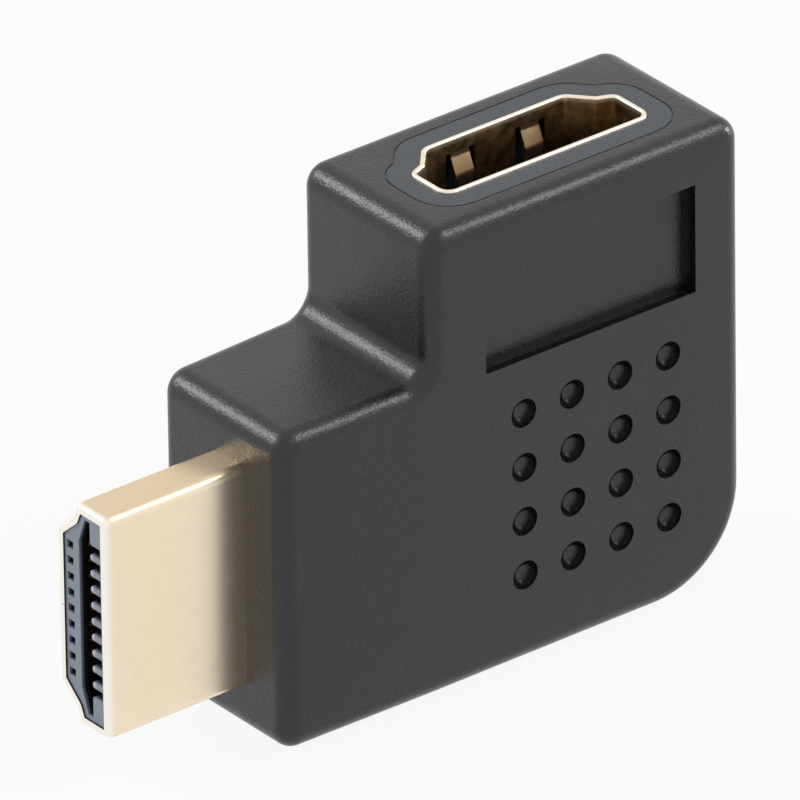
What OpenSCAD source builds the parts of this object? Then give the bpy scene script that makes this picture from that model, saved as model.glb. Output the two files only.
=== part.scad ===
// Right-angle adapter for a nineteen-contact video connector, in millimetres.
// The front face looks to -Y, the plug points to -X and the socket opens to +Z.
// The body stands on its foot at z = 0, with the origin under the middle of the whole part.

/* [Body] */
// Width of the body, from the face that carries the plug to the far side
body_w = 32.4; // [31:0.1:38]
// Height of the body, from the foot to the face that holds the socket
body_h = 28.9; // [28:0.1:36]
// Thickness of the body
body_t = 11.5; // [11:0.1:15]
// Width of the low arm beside the upright block
arm_w = 10.3; // [9:0.1:11.5]
// Height of the low arm
arm_h = 19.8; // [18.5:0.1:21]
// Rounding of the long edges round the front and the back
edge_r = 1.1; // [0.6:0.1:1.3]
// Rounding of the outer corners, as seen from the front
corner_r = 1.4; // [1.4:0.1:1.8]
// Rounding of the corner between the plug's face and the foot
foot_r = 1.2; // [1.2:0.1:1.8]
// Rounding of the big corner below the socket
heel_r = 6.1; // [4:0.1:7]
// Fillet between the low arm and the upright block
throat_r = 2; // [1.4:0.1:2.6]

/* [Name Panel] */
// Width of the sunken panel on the front
panel_w = 14.8; // [10:0.1:16]
// Height of the sunken panel
panel_h = 6.7; // [5:0.1:7]
// Depth of the sunken panel
panel_depth = 0.8; // [0.4:0.05:0.9]
// Distance from the panel to the far side of the body
panel_side_gap = 3.4; // [2.5:0.1:4.5]
// Distance from the panel to the face that holds the socket
panel_top_gap = 3.1; // [2.5:0.1:3.5]

/* [Grip Dimples] */
// Rows of dimples
dimple_rows = 4; // [1:1:4]
// Dimples in each row
dimple_columns = 4; // [1:1:4]
// Distance between neighbouring dimples
dimple_pitch = 3.4; // [2.6:0.1:3.5]
// Width of a dimple at the surface
dimple_d = 1.75; // [1:0.05:2]
// Depth of a dimple
dimple_depth = 0.7; // [0.3:0.05:0.8]
// Distance from the panel down to the middle of the first row
dimple_gap = 3.35; // [2:0.05:3.6]
// Distance from the far side of the body to the middle of the last column
dimple_side_gap = 5.4; // [4.5:0.1:6]

/* [Connector Outline] */
// Width of the plug's shell on its wide side
plug_w = 13.9; // [13.8:0.05:14]
// Thickness of the plug's shell
plug_t = 4.45; // [4.4:0.05:4.5]
// Distance between neighbouring contacts of one row
contact_pitch = 1; // [0.9:0.05:1]
// Room all round between a plug and the socket that takes it
mating_gap = 0.05; // [0.03:0.01:0.1]

/* [Plug] */
// Length of the plug outside the body
plug_reach = 9.5; // [9:0.1:12]
// Length of the plug's shell inside the body
plug_root = 5.6; // [4.6:0.1:6]
// Thickness of the plug's sheet metal
plug_sheet = 0.3; // [0.2:0.05:0.3]
// How far the shell's leading edge is rolled inward
roll_in = 0.25; // [0.1:0.05:0.3]
// Length of the rolled leading edge
roll_length = 0.6; // [0.4:0.1:1]
// Width of the seam on the narrow side of the shell
seam_w = 0.12; // [0.08:0.02:0.2]

/* [Socket] */
// Thickness of the socket's sheet metal
socket_sheet = 0.3; // [0.2:0.05:0.35]
// Length of the socket's shell below its mouth
socket_depth = 12; // [11.5:0.1:12.5]
// How far the shell's lip stands above the body
lip_height = 0.15; // [0.05:0.05:0.3]
// Depth of the opening, down to the floor of the socket
mouth_depth = 9.6; // [9.5:0.1:10]
// Depth of the tongue's tip below the body's face
tongue_inset = 2.1; // [1.5:0.1:3]
// Thickness of the tongue
tongue_t = 0.9; // [0.8:0.05:0.95]
// Width of each spring finger in the shell's walls
finger_w = 1.3; // [1:0.1:1.6]
// Width of the slot on each side of a finger
finger_slot = 0.38; // [0.25:0.01:0.45]
// Distance from the socket's middle to the middle of each finger
finger_x = 2.45; // [2:0.05:2.8]

/* [Inner Mould] */
// Wall of the inner mould round the socket's shell
collar_wall = 1.4; // [1:0.1:1.4]
// Width of the joint line between the body and the inner mould
joint_w = 0.08; // [0.06:0.02:0.2]

/* [Circuit Board] */
// Thickness of the circuit board
board_t = 0.8; // [0.6:0.1:0.8]

/* [Hidden] */
$fn = 48;
contact_count = 19;
eps = 0.01;
// Extra length of the shapes that cut
over = 1;

// Body, in the part's frame
left_x = (plug_reach - body_w) / 2;
right_x = left_x + body_w;
step_x = left_x + arm_w;
border_lap = 0.4;
panel_x = right_x - panel_side_gap - panel_w;
panel_z = body_h - panel_top_gap - panel_h;
dimple_x = right_x - dimple_side_gap;
dimple_z = panel_z - dimple_gap;
dimple_ball = (dimple_d * dimple_d / 4 + dimple_depth * dimple_depth) / (2 * dimple_depth);

// Connectors: the plug in the middle of the arm's side, the socket in the middle of the upright block
plug_z = arm_h / 2;
socket_x = (step_x + right_x) / 2;
insulator_inset = 0.1;
outline_steps = 5;
least_r = 0.08;
wide_end_v = 0.45;
step_v = 0.85;
step_in = 0.95;
slant_in = 2.15;
broad_r = 0.55;
shoulder_r = 0.35;
step_r = 0.4;
narrow_r = 0.6;
plug_front = plug_reach - insulator_inset;
socket_outer = mating_gap + socket_sheet;

// Contacts
contact_w = 0.4;
contact_t = 0.2;
notch_w = 0.52;
tail_v = board_t / 2 + contact_t / 2;
tail_lead = 0.7;
tail_length = 2.2;
// Bends of the plug's leaf contacts: distance behind the tip of the plug, rise above the slot's wall
leaf_knee_back = 2.9;
leaf_knee_rise = 0.06;
leaf_touch_back = 1.9;
leaf_touch_rise = 0.02;
leaf_end_back = 0.8;
leaf_end_rise = 0.2;

// Plug's insulator, whose slot lies a little off the middle, toward the wide side
slot_v = -0.12;
slot_half_t = 0.5;
slot_half_w = 6.1;
slot_narrow_half_w = 4.6;
slot_depth = 7.7;
notch_far_v = 1.5;
window_near_v = 0.92;
window_far_v = 1.42;
window_w = 0.42;
window_skin = 0.5;
contact_row_v = 1.1;
nose_gap = 0.02;
channel_start = 1;

// Socket's insulator
tongue_half_w = slot_half_w - 0.2;
tongue_narrow_half_w = slot_narrow_half_w - 0.1;
tongue_shoulder = 0.1;
tongue_nose = 0.4;
nose_side = 0.2;
nose_face = 0.13;
tongue_contact_inset = 0.6;
contact_proud = 0.03;
tongue_row_v = tongue_t / 2 + contact_proud - contact_t / 2;

// Spring fingers of the socket
finger_top = 0.75;
finger_length = 5.3;
finger_window = 5.9;
finger_bend = 0.45;
finger_root = 0.2;
finger_straight = 0.7;
finger_knee = 3.6;
finger_tip_in = 0.1;
socket_wall_v = plug_t / 2 + mating_gap + socket_sheet / 2;
relief_depth = 0.5;

// Circuit board: beside the plug it follows the plug, under the socket it follows the socket
board_x = left_x + plug_root + tail_lead;
board_side_gap = 4.3;
board_right = right_x - board_side_gap;
board_top = body_h - socket_depth - tail_lead;
board_edge_in = 0.85;
board_half = plug_w / 2 - board_edge_in;
board_cut = 2.4;
board_tail_room = 0.3;
tail_end = board_x + tail_length + board_tail_room;

// Inner mould that holds the board
core_grip = 3;
core_wall = 1.2;
core_lap = 1;
core_x = left_x + plug_root - core_grip;
core_top = body_h - socket_depth + core_lap;
core_t = plug_t + 2 * core_wall;
mould_floor = 0.5;
collar_outer = socket_outer + collar_wall;
cavity_t = 3.4;

// Names of all sub-parts
function two_digits(i) = str(i < 10 ? "0" : "", i);
function contact_name(owner, i) = str(owner, "_contact_", two_digits(i));

// Rounded outlines
function unit(v) = v / norm(v);
function cross_2d(a, b) = a[0] * b[1] - a[1] * b[0];
function turned(v, angle) = [v[0] * cos(angle) - v[1] * sin(angle), v[0] * sin(angle) + v[1] * cos(angle)];
function at(list, i) = list[(i + len(list)) % len(list)];

// Arc that rounds the corner q between its neighbours p and s
function corner_arc(p, q, s, r, steps) =
    let (a = unit(p - q))
    let (b = unit(s - q))
    let (half = acos(a * b) / 2)
    let (centre = q + unit(a + b) * r / sin(half))
    let (start = q + a * r / tan(half) - centre)
    let (sweep = (cross_2d(a, b) < 0 ? 1 : -1) * (180 - 2 * half))
    [for (i = [0 : steps]) centre + turned(start, sweep * i / steps)];

// Closed outline with every corner rounded by its own radius
function rounded(points, radii, steps) = [
    for (i = [0 : len(points) - 1])
        each corner_arc(at(points, i - 1), points[i], at(points, i + 1), radii[i], steps)
];

// Closed outline, anticlockwise, with every side moved outward by d
function outward(a, b) = let (u = unit(b - a)) [u[1], -u[0]];
function grown(points, d) = [
    for (i = [0 : len(points) - 1])
        let (n1 = outward(at(points, i - 1), points[i]))
        let (n2 = outward(points[i], at(points, i + 1)))
        points[i] + (n1 + n2) * d / (1 + n1 * n2)
];

// Outline of a bent strip of even thickness along a centre line
function strip_side(path, d) = [
    for (i = [0 : len(path) - 1])
        let (n1 = outward(path[max(i - 1, 0)], path[max(i, 1)]))
        let (n2 = outward(path[min(i, len(path) - 2)], path[min(i + 1, len(path) - 1)]))
        path[i] + (n1 + n2) * d / (1 + n1 * n2)
];
function reversed(list) = [for (i = [len(list) - 1 : -1 : 0]) list[i]];
function strip(path, t) = concat(strip_side(path, t / 2), reversed(strip_side(path, -t / 2)));

// Connector outline: wide side at -v, then a step, a slanted side and the narrow side at +v
shell_half_w = plug_w / 2;
shell_half_t = plug_t / 2;
shell_corners = [
    [-shell_half_w, -shell_half_t],
    [shell_half_w, -shell_half_t],
    [shell_half_w, wide_end_v],
    [shell_half_w - step_in, step_v],
    [shell_half_w - slant_in, shell_half_t],
    [-shell_half_w + slant_in, shell_half_t],
    [-shell_half_w + step_in, step_v],
    [-shell_half_w, wide_end_v]
];
// Radius of each corner, negative where the outline turns inward
shell_radii = [broad_r, broad_r, shoulder_r, -step_r, narrow_r, narrow_r, -step_r, shoulder_r];
function shell_outline(grow) = rounded(
    grown(shell_corners, grow),
    [for (r = shell_radii) max(r > 0 ? r + grow : -r - grow, least_r)],
    outline_steps
);

// Outline of the slot in the plug and of the tongue that enters it
function tongue_outline(half_w, narrow_half_w, half_t) = [
    [-half_w, -half_t], [half_w, -half_t], [half_w, -half_t * tongue_shoulder],
    [narrow_half_w, half_t], [-narrow_half_w, half_t], [-half_w, -half_t * tongue_shoulder]
];

// Frames of the two connectors: width along x, wide side at -y, mating direction along z
module at_plug() {
    translate([left_x, 0, plug_z]) rotate([0, -90, 0]) children();
}

module at_socket() {
    translate([socket_x, 0, body_h]) children();
}

// Prism of a connector outline between two heights
module outline_prism(grow, from, to) {
    translate([0, 0, from]) linear_extrude(to - from) polygon(shell_outline(grow));
}

// Bent strip: its path has points [height, distance from the middle plane], side is -1 or 1
module bent_strip(path, side, w, t) {
    line = [for (p = path) [side * p[1], p[0]]];
    rotate([90, 0, 90]) linear_extrude(w, center = true) polygon(strip(line, t));
}

// Place of a contact across the connector: odd ones on the wide side, even ones on the narrow side
function contact_x(i) = (contact_count + 1 - 2 * i) * contact_pitch / 4;
function contact_side(i) = i % 2 == 1 ? -1 : 1;

// Body
// Section of the body's border, out to the given reach, with both outer edges rounded
module border_section(reach) {
    difference() {
        translate([0, -body_t / 2]) square([reach, body_t]);
        for (side = [0, 1]) mirror([0, side])
            translate([reach - edge_r, body_t / 2 - edge_r]) difference() {
                square(edge_r + over);
                circle(edge_r);
            }
    }
}

// Straight stretch of border from point a to point b, with the outside on its right
module border_run(a, b) {
    angle = atan2(b[1] - a[1], b[0] - a[0]);
    translate([a[0], 0, a[1]]) rotate([0, -angle, 0])
        rotate([0, 90, 0]) linear_extrude(norm(b - a))
            translate([-edge_r - border_lap, 0]) border_section(edge_r + border_lap);
}

// Outer corner of radius r, centred on c, turned from angle start over a quarter
module border_corner(c, r, start) {
    translate([c[0], 0, c[1]]) rotate([90, 0, 0]) rotate([0, 0, start])
        rotate_extrude(angle = 90) border_section(r);
}

// Border round the throat, centred on c, deep enough to end inside the middle
module throat_fillet(c) {
    reach = throat_r / 2 + edge_r * 1.5;
    translate([c[0], 0, c[1]]) rotate([90, 0, 0]) rotate([0, 0, -90])
        rotate_extrude(angle = 90)
            translate([throat_r + reach, 0]) mirror([1, 0]) border_section(reach);
}

module outer_body() {
    core = edge_r;
    heel = [right_x - heel_r, heel_r];
    top_right = [right_x - corner_r, body_h - corner_r];
    top_left = [step_x + corner_r, body_h - corner_r];
    arm_left = [left_x + corner_r, arm_h - corner_r];
    foot_left = [left_x + foot_r, foot_r];
    throat = [step_x - throat_r, arm_h + throat_r];
    // Full-thickness middle, with a slanted end inside each outer corner
    rotate([90, 0, 0]) linear_extrude(body_t, center = true) polygon([
        [foot_left[0], core], [heel[0], core], [right_x - core, heel[1]],
        [right_x - core, top_right[1]], [top_right[0], body_h - core],
        [top_left[0], body_h - core], [step_x + core, top_left[1]],
        [step_x + core, arm_h - core], [arm_left[0], arm_h - core],
        [left_x + core, arm_left[1]], [left_x + core, foot_left[1]]
    ]);
    border_corner(heel, heel_r, -90);
    border_corner(top_right, corner_r, 0);
    border_corner(top_left, corner_r, 90);
    border_corner(arm_left, corner_r, 90);
    border_corner(foot_left, foot_r, 180);
    throat_fillet(throat);
    border_run([foot_left[0], 0], [heel[0], 0]);
    border_run([right_x, heel[1]], [right_x, top_right[1]]);
    border_run([top_right[0], body_h], [top_left[0], body_h]);
    border_run([step_x, top_left[1]], [step_x, throat[1]]);
    border_run([throat[0], arm_h], [arm_left[0], arm_h]);
    border_run([left_x, arm_left[1]], [left_x, foot_left[1]]);
}

// Outline of the board, grown by a wall, from the given left end up to the given top under the socket
module board_outline(left, wall, top) {
    low = plug_z - board_half - wall;
    plug_top = plug_z + board_half + wall;
    right = board_right + wall;
    socket_left = step_x + 2 * core_wall - wall;
    translate([left, low]) square([tail_end + wall - left, plug_top - low]);
    difference() {
        union() {
            translate([left, low]) square([right - left, min(plug_top, top) - low]);
            translate([socket_left, low]) square([right - socket_left, top - low]);
        }
        translate([right, low]) rotate(45) square(board_cut * sqrt(2), center = true);
    }
}

// Block of the inner mould: a collar round the socket and a slab round the board
module mould_block() {
    at_socket() outline_prism(collar_outer, -socket_depth - mould_floor, 0);
    rotate([90, 0, 0]) linear_extrude(core_t, center = true)
        board_outline(core_x, core_wall, core_top);
}

module panel() {
    translate([panel_x, -body_t / 2 - over, panel_z]) cube([panel_w, panel_depth + over, panel_h]);
}

module dimples() {
    for (column = [0 : dimple_columns - 1])
        for (row = [0 : dimple_rows - 1])
            translate([
                dimple_x - column * dimple_pitch,
                -body_t / 2 - dimple_ball + dimple_depth,
                dimple_z - row * dimple_pitch
            ])
            sphere(dimple_ball);
}

module housing() {
    color("#3a3a3c") difference() {
        outer_body();
        mould_block();
        at_plug() outline_prism(0, -plug_root, over);
        at_socket() outline_prism(collar_outer + joint_w, -joint_w, over);
        panel();
        dimples();
    }
}

// Board space between the two connectors, inside the inner mould
module board_space() {
    rotate([90, 0, 0]) linear_extrude(cavity_t, center = true)
        board_outline(left_x + plug_root - eps, 0, body_h - socket_depth + eps);
}

module inner_mould() {
    color("#50555c") difference() {
        mould_block();
        at_socket() outline_prism(socket_outer, -socket_depth, over);
        at_plug() outline_prism(0, -plug_root, over);
        at_socket() finger_places() relief();
        board_space();
    }
}

module circuit_board() {
    color("#1f6b45") rotate([90, 0, 0]) linear_extrude(board_t, center = true)
        board_outline(board_x, 0, board_top);
}

// Plug
// Rolled leading edge: rings of the outline, inward along a quarter round and back along the inside
module rolled_edge(from, to) {
    steps = 4;
    outer = [for (i = [0 : steps])
        [from + (to - from) * sin(90 * i / steps), -roll_in * (1 - cos(90 * i / steps))]];
    inner = [for (i = [steps : -1 : 0])
        [from + (to - from) * sin(90 * i / steps), -plug_sheet - roll_in * (1 - cos(90 * i / steps))]];
    rings = [for (p = concat(outer, inner)) [for (q = shell_outline(p[1])) [q[0], q[1], p[0]]]];
    ring_count = len(rings);
    n = len(rings[0]);
    polyhedron(
        points = [for (ring = rings) each ring],
        faces = [
            for (k = [0 : ring_count - 1])
                for (j = [0 : n - 1])
                    let (a = k * n + j)
                    let (b = k * n + (j + 1) % n)
                    let (c = ((k + 1) % ring_count) * n + j)
                    let (d = ((k + 1) % ring_count) * n + (j + 1) % n)
                    each [[a, c, b], [b, c, d]]
        ]
    );
}

module plug_shell() {
    roll_start = plug_reach - roll_length;
    color("#e3c48c") at_plug() difference() {
        union() {
            difference() {
                outline_prism(0, -plug_root, roll_start);
                outline_prism(-plug_sheet, -plug_root - over, roll_start + over);
            }
            rolled_edge(roll_start, plug_reach);
        }
        translate([-seam_w / 2, 0, -plug_root - over])
            cube([seam_w, shell_half_t + over, plug_root + plug_reach + 2 * over]);
    }
}

// Channel of one contact: open to the slot in front, a tight hole behind
module plug_channel(i) {
    side = contact_side(i);
    skin = side > 0 ? window_skin : -over;
    translate([contact_x(i), 0, 0]) {
        translate([-notch_w / 2, side > 0 ? 0 : -notch_far_v, channel_start])
            cube([notch_w, notch_far_v, plug_front - skin - channel_start]);
        translate([-contact_w / 2, side * contact_row_v - contact_t / 2, -plug_root - over])
            cube([contact_w, contact_t, plug_root + channel_start + over + eps]);
        if (side > 0) translate([-window_w / 2, window_near_v, plug_front - skin - eps])
            cube([window_w, window_far_v - window_near_v, skin + over]);
    }
}

module plug_insulator() {
    color("#8e97a3") at_plug() difference() {
        union() {
            outline_prism(-plug_sheet, -plug_root, plug_reach - roll_length);
            outline_prism(-plug_sheet - roll_in - nose_gap, 0, plug_front);
        }
        translate([0, slot_v, plug_front - slot_depth]) linear_extrude(slot_depth + over)
            polygon(tongue_outline(slot_half_w, slot_narrow_half_w, slot_half_t));
        for (i = [1 : contact_count]) plug_channel(i);
    }
}

// Leaf contact of the plug: it rises to the slot near its tip and ends flat on the board behind
module plug_contact(i) {
    side = contact_side(i);
    slot_wall = slot_half_t + side * slot_v;
    board_edge = -plug_root - tail_lead;
    path = [
        [board_edge - tail_length, tail_v],
        [board_edge, tail_v],
        [-plug_root, contact_row_v],
        [channel_start, contact_row_v],
        [plug_reach - leaf_knee_back, slot_wall + leaf_knee_rise],
        [plug_reach - leaf_touch_back, slot_wall + leaf_touch_rise],
        [plug_reach - leaf_end_back, slot_wall + leaf_end_rise]
    ];
    color("#d8a94e") at_plug() translate([contact_x(i), 0, 0])
        bent_strip(path, side, contact_w, contact_t);
}

// Socket
// The four places of the spring fingers, two in each broad wall
module finger_places() {
    for (side = [0, 1])
        for (x = [-finger_x, finger_x])
            translate([x, 0, 0]) mirror([0, side, 0]) children();
}

module finger_cut() {
    w = finger_w + 2 * finger_slot;
    translate([-w / 2, socket_wall_v - socket_sheet, -finger_top - finger_window])
        cube([w, 2 * socket_sheet, finger_window]);
}

module relief() {
    w = finger_w + 2 * finger_slot;
    translate([-w / 2, socket_wall_v, -finger_top - finger_window])
        cube([w, socket_sheet / 2 + relief_depth, finger_window]);
}

// Finger: straight at its root near the mouth, then bent into the opening and back
module finger() {
    path = [
        [-finger_top + finger_root, socket_wall_v],
        [-finger_top - finger_straight, socket_wall_v],
        [-finger_top - finger_knee, socket_wall_v - finger_bend],
        [-finger_top - finger_length, socket_wall_v - finger_tip_in]
    ];
    bent_strip(path, 1, finger_w, socket_sheet);
}

module socket_shell() {
    color("#c79a54") at_socket() {
        difference() {
            outline_prism(socket_outer, -socket_depth, lip_height);
            outline_prism(mating_gap, -socket_depth - over, lip_height + over);
            finger_places() finger_cut();
        }
        finger_places() finger();
    }
}

// Groove of one contact along the tongue, going on as a tight hole through the base
module socket_groove(i) {
    side = contact_side(i);
    translate([contact_x(i) - contact_w / 2, slot_v, -socket_depth - over]) {
        translate([0, side * tongue_row_v - contact_t / 2, 0])
            cube([contact_w, contact_t, socket_depth + over - tongue_inset - tongue_contact_inset]);
        translate([0, side > 0 ? tongue_row_v : -tongue_row_v - contact_t, socket_depth + over - mouth_depth])
            cube([contact_w, contact_t, mouth_depth - tongue_inset - tongue_contact_inset]);
    }
}

module socket_insulator() {
    color("#2a2c30") at_socket() difference() {
        union() {
            outline_prism(mating_gap, -socket_depth, -mouth_depth);
            translate([0, slot_v, -mouth_depth - eps])
                linear_extrude(mouth_depth - tongue_inset - tongue_nose + eps)
                polygon(tongue_outline(tongue_half_w, tongue_narrow_half_w, tongue_t / 2));
            translate([0, slot_v, -mouth_depth])
                linear_extrude(mouth_depth - tongue_inset)
                polygon(tongue_outline(
                    tongue_half_w - nose_side, tongue_narrow_half_w - nose_side, tongue_t / 2 - nose_face
                ));
        }
        for (i = [1 : contact_count]) socket_groove(i);
    }
}

// Flat contact of the socket: it lies in the tongue's face and ends flat on the board below
module socket_contact(i) {
    side = contact_side(i);
    tongue_face = tongue_row_v + side * slot_v;
    board_edge = -socket_depth - tail_lead;
    path = [
        [board_edge - tail_length, tail_v],
        [board_edge, tail_v],
        [-socket_depth, tongue_face],
        [-tongue_inset - tongue_contact_inset, tongue_face]
    ];
    color("#d8a94e") at_socket() translate([contact_x(i), 0, 0])
        bent_strip(path, side, contact_w, contact_t);
}

housing();
inner_mould();
circuit_board();
plug_shell();
plug_insulator();
socket_shell();
socket_insulator();
for (i = [1 : contact_count]) {
    plug_contact(i);
    socket_contact(i);
}
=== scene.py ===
import math

import bmesh
import bpy
from bpy.props import FloatProperty, FloatVectorProperty, IntProperty, PointerProperty
from bpy.types import Operator, Panel, PropertyGroup
from mathutils import Matrix, Vector
from mathutils.geometry import tessellate_polygon


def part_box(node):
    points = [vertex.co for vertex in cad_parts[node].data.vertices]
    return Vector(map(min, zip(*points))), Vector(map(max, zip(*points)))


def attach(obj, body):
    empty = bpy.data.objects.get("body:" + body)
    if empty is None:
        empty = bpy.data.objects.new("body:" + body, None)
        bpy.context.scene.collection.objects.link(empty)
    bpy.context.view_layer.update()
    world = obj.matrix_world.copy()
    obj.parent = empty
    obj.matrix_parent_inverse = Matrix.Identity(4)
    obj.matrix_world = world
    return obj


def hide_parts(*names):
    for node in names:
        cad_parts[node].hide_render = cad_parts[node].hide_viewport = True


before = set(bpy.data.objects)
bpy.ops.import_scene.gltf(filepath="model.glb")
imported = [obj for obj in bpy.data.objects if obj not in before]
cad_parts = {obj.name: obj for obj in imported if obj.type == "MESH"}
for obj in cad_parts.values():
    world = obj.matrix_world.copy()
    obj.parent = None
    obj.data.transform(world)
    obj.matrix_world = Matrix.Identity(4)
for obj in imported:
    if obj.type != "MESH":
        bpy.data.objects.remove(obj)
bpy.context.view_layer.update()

bl_info = {
    "name": "Right-Angle Video Adapter",
    "version": (1, 0, 0),
    "blender": (4, 5, 0),
    "location": "3D View > Sidebar > Adapter",
    "description": "Finishes, fine pieces and studio for a right-angle video adapter",
    "category": "Object",
}

MM = 0.001
TOUCH = 0.02 * MM  # within this distance a point counts as on a surface
WIDE_COUNT, NARROW_COUNT = 10, 9  # contacts on a connector's wide and narrow side
BODY_LOW, BODY_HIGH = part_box("housing")
PLUG_LOW, PLUG_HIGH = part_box("plug_shell")
SOCKET_LOW, SOCKET_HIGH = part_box("socket_shell")


# Settings that a user would change

def length(name, description, value_mm, low_mm=0.0, high_mm=100.0):
    """A length property, given in millimetres."""
    return FloatProperty(
        name=name, description=description, default=value_mm * MM,
        min=low_mm * MM, max=high_mm * MM, unit="LENGTH", precision=5,
    )


def colour(name, description, value):
    """A colour property with linear red, green and blue."""
    return FloatVectorProperty(
        name=name, description=description, default=value,
        min=0.0, max=1.0, size=3, subtype="COLOR",
    )


def ratio(name, description, value):
    """A number from 0 to 1."""
    return FloatProperty(
        name=name, description=description, default=value, min=0.0, max=1.0, subtype="FACTOR",
    )


def facets(name, description, value):
    """A number of facets."""
    return IntProperty(name=name, description=description, default=value, min=2, max=32)


def power(name, description, value):
    """A lamp's power in watts."""
    return FloatProperty(
        name=name, description=description, default=value, min=0.0, unit="POWER",
    )


class AdapterFinish(PropertyGroup):
    """Colours of the moulded and plated pieces, some of them painted shade or painted highlights.
    """

    body_colour: colour("Body", "Black moulded body", (0.010, 0.0093, 0.0105))
    collar_colour: colour("Collar", "Inner mould round the socket", (0.024, 0.032, 0.041))
    insulator_colour: colour(
        "Plug Insulator", "Front of the moulding inside the plug", (0.26, 0.31, 0.375))
    # Painted highlight on the slot-side ends of the wide teeth
    tooth_highlight_colour: colour("Tooth Tips", "Painted highlight on the ends of the teeth", (0.62, 0.63, 0.66))
    # Painted shade: the plug insulator turns this dark deeper than its front face
    recess_shade_colour: colour(
        "Painted Recess Shade", "Painted shade deep in the slot, notches and windows", (0.010, 0.012, 0.017))
    tongue_colour: colour(
        "Socket Insulator", "Tongue and base of the socket", (0.022, 0.022, 0.024))
    board_colour: colour("Circuit Board", "Coated laminate", (0.015, 0.11, 0.045))
    plug_gold: colour("Plug Plating", "Pale gold plating of the plug", (0.93, 0.80, 0.60))
    # Painted highlight on the plug's rolled tip
    tip_highlight_gold: colour("Tip Plating", "Painted highlight on the plating at the plug's tip", (0.96, 0.91, 0.83))
    # Painted shade on the plug's narrow sides
    side_shade_gold: colour(
        "Side Plating", "Painted shade on the plating of the plug's narrow sides", (0.76, 0.60, 0.40))
    # Painted highlight on the socket's lip
    lip_highlight_gold: colour("Lip Plating", "Painted highlight on the plating at the socket's mouth", (0.86, 0.765, 0.63))
    # Painted shade: the plating inside the socket is darkened
    socket_shade_gold: colour(
        "Socket Plating", "Gilt plating inside the socket, darkened as painted shade", (0.36, 0.235, 0.11))
    # Painted shade on the spring fingers, less than inside the socket
    spring_shade_gold: colour("Spring Plating", "Plating of the spring fingers, darkened as painted shade", (0.50, 0.38, 0.24))
    contact_gold: colour("Contact Plating", "Gold plating of the contacts", (0.85, 0.60, 0.25))


class AdapterBody(PropertyGroup):
    """Sizes and texture of the moulded body."""

    arm_length: length("Arm Length", "Length of the low arm beside the upright block", 10.3)
    arm_height: length("Arm Height", "Height of the low arm", 19.8)
    taper_back: length("Back Taper", "How far the low arm's back comes forward at the plug", 0.54)
    taper_front: length("Front Taper", "How far the low arm's front goes back at the plug", 0.15)
    packed_throat: length("Packed Throat", "Fillet of the packed body over the low arm", 2.0)
    throat: length("Throat", "Fillet of the finished body over the low arm", 1.55)
    border: length("Border", "Rounding of the long edges", 1.1)
    panel_depth: length("Panel Depth", "Depth of the sunken panel", 0.8)
    recess_margin: length(
        "Recess Margin", "Least distance of the panel and the dimples from the outline", 3.0)
    roughness: ratio("Roughness", "Roughness of the moulded plastic", 0.27)
    shine: ratio("Shine", "Specular level of the moulded plastic", 0.56)
    # Painted shade: the shine drops on the walls of the panel and the dimples
    recess_shade_shine: ratio("Recess Shine", "Specular level deep in the panel and the dimples", 0.06)
    grain_size: length("Grain Size", "Size of the eroded grain", 0.16, 0.02, 2.0)
    grain_depth: length("Grain Depth", "Height of the eroded grain", 0.03, 0.0, 0.1)


class AdapterPlug(PropertyGroup):
    """Sizes of the plug's sheet metal and of the comb in its insulator."""

    width: length("Width", "Width of the shell on its wide side", 13.9)
    thickness: length("Thickness", "Thickness of the shell", 4.45)
    sheet: length("Sheet", "Thickness of the sheet metal", 0.3)
    roll_in: length("Roll In", "How far the leading edge is rolled inward", 0.25)
    roll_length: length("Roll Length", "Length of the rolled leading edge", 0.6)
    seam: length("Seam", "Width of the seam on the narrow side", 0.04)
    front_inset: length("Front Inset", "Distance from the tip to the insulator's front", 0.1)
    front_gap: length("Front Gap", "Room between the rolled edge and the insulator", 0.02)
    slot_shift: length(
        "Slot Shift", "How far the slot lies off the middle, toward the wide side", 0.12)
    slot_depth: length("Slot Depth", "Depth of the slot", 7.7)
    skin: length("Skin", "Thickness of the front skin over the narrow row", 0.5)
    tooth_width: length("Tooth Width", "Width of a tooth between two contacts", 0.4)
    window_width: length("Window Width", "Width of a window in the front skin", 0.48)
    corner_steps: facets("Corner Steps", "Facets round each corner", 12)
    roll_steps: facets("Roll Steps", "Facets round the rolled edge", 10)


class AdapterSocket(PropertyGroup):
    """Sizes of the socket's sheet metal and of its spring fingers."""

    gap: length("Mating Gap", "Room round a plug in the socket", 0.05)
    sheet: length("Sheet", "Thickness of the sheet metal", 0.3)
    finger_width: length("Finger Width", "Width of a spring finger", 1.3)
    finger_slot: length("Finger Slot", "Width of the slot on each side of a finger", 0.38)
    finger_place: length("Finger Place", "Distance from the middle to each finger", 2.45)
    finger_top: length("Finger Top", "Depth at which the fingers start", 0.75)
    finger_window: length("Finger Window", "Length of the opening round a finger", 5.9)
    finger_bend: length("Finger Bend", "How far a finger is bent into the opening", 0.45)
    lip_steps: facets("Lip Steps", "Facets round the lip", 10)


class AdapterContacts(PropertyGroup):
    """Sizes shared by the rows of leaf contacts."""

    pitch: length("Pitch", "Distance between neighbouring contacts of one row", 1.0)
    width: length("Width", "Width of a contact", 0.4)
    thickness: length("Thickness", "Thickness of a contact", 0.2)
    bend: length("Bend", "Radius of the bends", 0.3)
    edge: length("Edge", "Rounding of the stamped edges", 0.03)


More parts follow.
